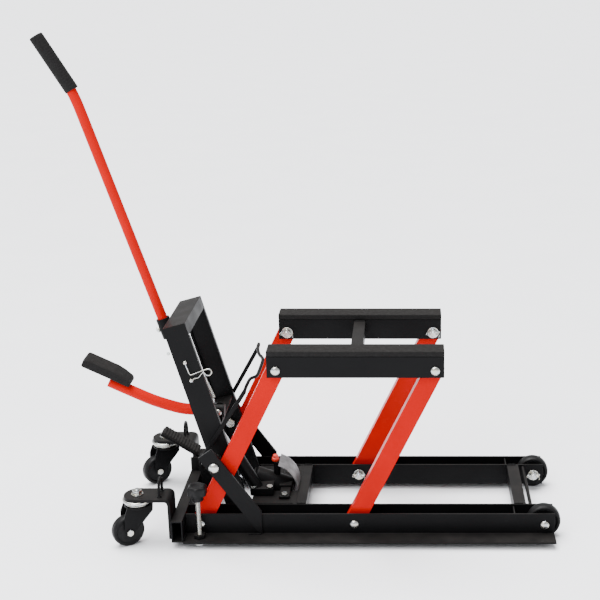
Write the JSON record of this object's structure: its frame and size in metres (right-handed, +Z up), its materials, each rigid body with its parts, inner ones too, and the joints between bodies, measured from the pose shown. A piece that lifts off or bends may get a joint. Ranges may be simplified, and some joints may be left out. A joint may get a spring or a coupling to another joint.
{
  "type": "motorcycle lift jack",
  "caption": "Foot-pumped hydraulic motorcycle and ATV lift: two base rails, parallel red arms, padded twin-beam platform, casters, locking bar and steering handle",
  "frame": {"origin": "on the floor, under the middle of the bounding box", "axes": "+X from the handle end to the rear wheels, +Y across to the far side, +Z up"},
  "size_m": [1.1166, 0.386, 1.0853],
  "materials": {
    "black_powder_coat": "semi-gloss black powder coat",
    "red_enamel": "gloss red enamel",
    "zinc_plate": "bright zinc plating",
    "hard_chrome": "ground and hard-chromed",
    "rubber": "matt moulded rubber",
    "nylon": "moulded nylon, lightly scuffed",
    "red_plastic": "moulded red plastic",
    "grey_sheet_steel": "bare sheet steel, oiled"
  },
  "bodies": {
    "frame": {"rail_near": "black_powder_coat", "brace_near": "black_powder_coat", "mast_leg_near": "black_powder_coat", "knee_bolt_near": "zinc_plate", "caster_strap_near": "black_powder_coat", "lower_front_bolt_near": "zinc_plate", "lower_rear_bolt_near": "zinc_plate", "axle_bolt_near": "zinc_plate", "rail_far": "black_powder_coat", "brace_far": "black_powder_coat", "mast_leg_far": "black_powder_coat", "knee_bolt_far": "zinc_plate", "caster_strap_far": "black_powder_coat", "lower_front_bolt_far": "zinc_plate", "lower_rear_bolt_far": "zinc_plate", "axle_bolt_far": "zinc_plate", "front_cross_tube": "black_powder_coat", "mid_cross_member": "black_powder_coat", "rear_cross_member": "black_powder_coat", "rear_stop_rod": "black_powder_coat", "mast_bridge": "black_powder_coat", "handle_socket": "black_powder_coat", "jack_body": "black_powder_coat", "filler_plug": "red_plastic", "guard_plate": "grey_sheet_steel", "pump_bracket": "black_powder_coat", "pedal_pivot_bolt": "zinc_plate", "pedal_spring": "zinc_plate"},
    "front_arms": {"front_arm_near": "red_enamel", "front_arm_far": "red_enamel", "torque_tube": "black_powder_coat"},
    "rear_arms": {"rear_arm_near": "red_enamel", "rear_arm_far": "red_enamel"},
    "platform": {"beam_near": "black_powder_coat", "beam_far": "black_powder_coat", "beam_pad_near": "rubber", "beam_pad_far": "rubber", "platform_cross_member": "black_powder_coat", "upper_front_bolt_near": "zinc_plate", "upper_front_bolt_far": "zinc_plate", "upper_rear_bolt_near": "zinc_plate", "upper_rear_bolt_far": "zinc_plate"},
    "lift_ram": {"ram": "hard_chrome"},
    "pedal": {"pump_pedal": "red_enamel", "pedal_pad": "rubber"},
    "plunger": {"pump_plunger": "hard_chrome"},
    "release_pedal": {"release_lever": "black_powder_coat", "release_pad": "rubber"},
    "locking_bar": {"lock_bar": "black_powder_coat"},
    "steering_handle": {"handle_tube": "red_enamel", "handle_grip": "rubber"},
    "clamp_screw": {"handle_clamp_screw": "zinc_plate"},
    "near_rear_wheel": {"rear_wheel_near": "nylon"},
    "far_rear_wheel": {"rear_wheel_far": "nylon"},
    "near_screw": {"levelling_screw_near": "zinc_plate"},
    "far_screw": {"levelling_screw_far": "zinc_plate"},
    "near_caster": {"caster_fork_near": "black_powder_coat"},
    "far_caster": {"caster_fork_far": "black_powder_coat"},
    "near_caster_wheel": {"caster_wheel_near": "nylon"},
    "far_caster_wheel": {"caster_wheel_far": "nylon"}
  },
  "joints": [
    {"name": "lift", "type": "hinge", "parent": "frame", "child": "front_arms", "pos_m": [-0.23425, 0, 0.039], "axis": [0, 1, 0], "range_deg": [0, 56]},
    {"name": "rear_lift", "type": "hinge", "parent": "frame", "child": "rear_arms", "pos_m": [0.10275, 0, 0.039], "axis": [0, 1, 0], "range_deg": [0, 56]},
    {"name": "platform_level", "type": "hinge", "parent": "front_arms", "child": "platform", "pos_m": [-0.0589, 0, 0.39852], "axis": [0, 1, 0], "range_deg": [-56, 0]},
    {"name": "ram_slide", "type": "slide", "parent": "frame", "child": "lift_ram", "axis": [-0.9397, 0, 0.342], "range_m": [-0.0802, 0]},
    {"name": "handle_pull", "type": "slide", "parent": "frame", "child": "steering_handle", "axis": [-0.2995, 0, 0.9541], "range_m": [0, 0.036]},
    {"name": "clamp_screw_turn_out", "type": "slide", "parent": "frame", "child": "clamp_screw", "axis": [-0.9541, 0, -0.2995], "range_m": [0, 0.006]},
    {"name": "pump_pedal_press", "type": "hinge", "parent": "frame", "child": "pedal", "pos_m": [-0.20025, -0.044, 0.266], "axis": [0, 1, 0], "range_deg": [-18, 0], "stiffness_Nm_per_rad": 20, "springref_deg": 34.38},
    {"name": "pump_plunger_stroke", "type": "slide", "parent": "frame", "child": "plunger", "axis": [0.4756, 0, -0.8796], "range_m": [0, 0.0075]},
    {"name": "release_press", "type": "hinge", "parent": "frame", "child": "release_pedal", "pos_m": [-0.25625, 0.089, 0.088], "axis": [0, 1, 0], "range_deg": [-12, 0], "stiffness_Nm_per_rad": 6, "springref_deg": 28.65},
    {"name": "locking_bar_swing", "type": "hinge", "parent": "frame", "child": "locking_bar", "pos_m": [-0.21325, 0, 0.206], "axis": [0, 1, 0], "range_deg": [-30, 0]},
    {"name": "near_levelling_screw", "type": "slide", "parent": "frame", "child": "near_screw", "axis": [0, 0, 1], "range_m": [-0.004, 0.0035]},
    {"name": "far_levelling_screw", "type": "slide", "parent": "frame", "child": "far_screw", "axis": [0, 0, 1], "range_m": [-0.004, 0.0035]},
    {"name": "near_rear_wheel_spin", "type": "hinge", "parent": "frame", "child": "near_rear_wheel", "pos_m": [0.52075, -0.125, 0.0375], "axis": [0, 1, 0], "continuous": true},
    {"name": "far_rear_wheel_spin", "type": "hinge", "parent": "frame", "child": "far_rear_wheel", "pos_m": [0.52075, 0.125, 0.0375], "axis": [0, 1, 0], "continuous": true},
    {"name": "near_caster_swivel", "type": "hinge", "parent": "frame", "child": "near_caster", "pos_m": [-0.36825, -0.153, 0.108], "axis": [0, 0, 1], "continuous": true},
    {"name": "near_caster_wheel_spin", "type": "hinge", "parent": "near_caster", "child": "near_caster_wheel", "pos_m": [-0.39099, -0.16561, 0.035], "axis": [0.4848, -0.8746, 0], "continuous": true},
    {"name": "far_caster_swivel", "type": "hinge", "parent": "frame", "child": "far_caster", "pos_m": [-0.36825, 0.153, 0.108], "axis": [0, 0, 1], "continuous": true},
    {"name": "far_caster_wheel_spin", "type": "hinge", "parent": "far_caster", "child": "far_caster_wheel", "pos_m": [-0.38955, 0.13809, 0.035], "axis": [0.5736, -0.8192, 0], "continuous": true}
  ],
  "couplings": [
    {"joint": "rear_lift", "follows": "lift", "ratio": 1},
    {"joint": "platform_level", "follows": "lift", "ratio": -1},
    {"joint": "ram_slide", "follows": "lift", "m_per_rad": -0.0816},
    {"joint": "pump_plunger_stroke", "follows": "pump_pedal_press", "m_per_rad": -0.0225}
  ]
}
